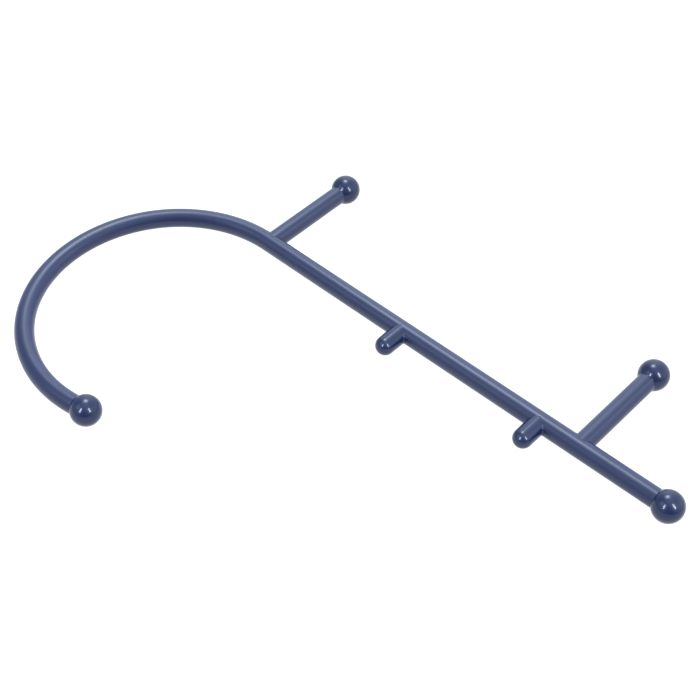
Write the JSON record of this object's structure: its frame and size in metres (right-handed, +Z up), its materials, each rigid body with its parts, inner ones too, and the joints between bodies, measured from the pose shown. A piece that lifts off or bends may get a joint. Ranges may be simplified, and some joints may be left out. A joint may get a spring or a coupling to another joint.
{
  "type": "self-massage cane",
  "caption": "Hooked self-massage cane: a C-shaped tube with a straight shaft, crosswise handles with ball ends, and short round-nosed pegs.",
  "frame": {"origin": "on the ground under the middle of the cane's outline, as it lies on its balls", "axes": "+X along the straight shaft away from the hook, +Y from the shaft towards the long handles, +Z up from the ground"},
  "size_m": [0.6102, 0.3902, 0.0284],
  "materials": {
    "navy_tube": "satin",
    "navy_ball": "gloss",
    "natural_dowel": "matte",
    "grey_core": "matte"
  },
  "bodies": {
    "root": {"cane_tube": "navy_tube", "upper_handle_tube": "navy_tube", "lower_handle_tube": "navy_tube", "upper_peg": "navy_tube", "lower_peg": "navy_tube", "hook_ball": "navy_ball", "shaft_ball": "navy_ball", "upper_handle_ball": "navy_ball", "lower_handle_ball": "navy_ball", "hook_ball_dowel": "natural_dowel", "shaft_ball_dowel": "natural_dowel", "upper_handle_ball_dowel": "natural_dowel", "lower_handle_ball_dowel": "natural_dowel", "upper_handle_stud": "natural_dowel", "lower_handle_stud": "natural_dowel", "upper_peg_dowel": "natural_dowel", "lower_peg_dowel": "natural_dowel", "upper_handle_core": "grey_core", "upper_peg_core": "grey_core", "lower_joint_core": "grey_core"}
  },
  "joints": []
}
